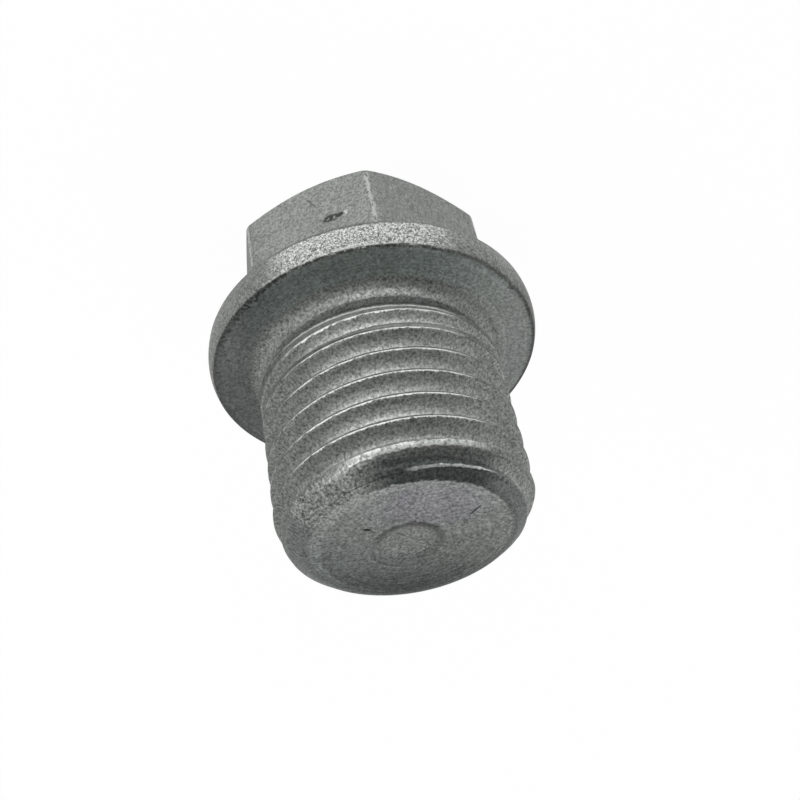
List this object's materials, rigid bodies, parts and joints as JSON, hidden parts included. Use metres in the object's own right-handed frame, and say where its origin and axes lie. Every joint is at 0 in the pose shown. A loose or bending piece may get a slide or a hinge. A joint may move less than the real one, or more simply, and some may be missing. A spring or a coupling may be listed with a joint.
{
  "type": "oil drain plug",
  "caption": "Hexagon-head drain plug with a round bearing flange, a metric fine thread and a blunt tip with a shallow centre dimple.",
  "frame": {"origin": "centre of the head's end face, on which the plug stands", "axes": "+Z along the plug's axis from the head's end face to the threaded tip; +X across two flats of the hexagon, +Y across two of its corners"},
  "size_m": [0.0196, 0.0194, 0.0213],
  "materials": {
    "coated_steel": "matt zinc-flake coating, silver grey, lightly worn on the rim and the thread crests"
  },
  "bodies": {
    "root": {"drain_plug": "coated_steel"}
  },
  "joints": []
}
